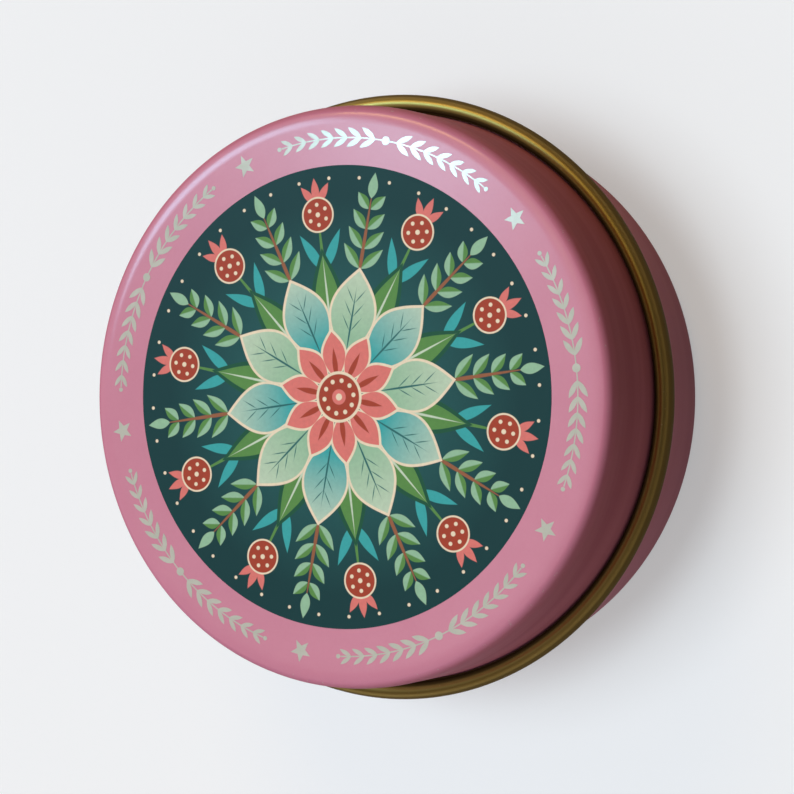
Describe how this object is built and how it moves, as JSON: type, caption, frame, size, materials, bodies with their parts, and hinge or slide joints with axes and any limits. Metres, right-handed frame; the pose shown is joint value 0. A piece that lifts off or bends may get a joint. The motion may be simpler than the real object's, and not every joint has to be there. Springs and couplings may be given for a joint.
{
  "type": "baby tooth box",
  "caption": "Small round slip-lid keepsake tin: a flat-faced lid with an outward rolled edge lifts straight off a plain drawn cup with a recessed floor.",
  "frame": {"origin": "centre of the foot ring, on the surface that the tin stands on", "axes": "+Z is the axis of the round tin, from its foot to its lid; +Y is the top edge of the face as the picture shows it"},
  "size_m": [0.0662, 0.0662, 0.0263],
  "materials": {
    "pink_lacquer": "satin pink lacquer on tinplate, gold lacquer on the inner side",
    "gold_lacquer": "clear gold lacquer on tinplate"
  },
  "bodies": {
    "base": {"base_shell": "pink_lacquer"},
    "lid": {"lid_shell": "pink_lacquer", "lid_curl": "gold_lacquer"}
  },
  "joints": [
    {"name": "lid_lift", "type": "slide", "parent": "base", "child": "lid", "axis": [0, 0, 1], "range_m": [0, 0.03]}
  ]
}
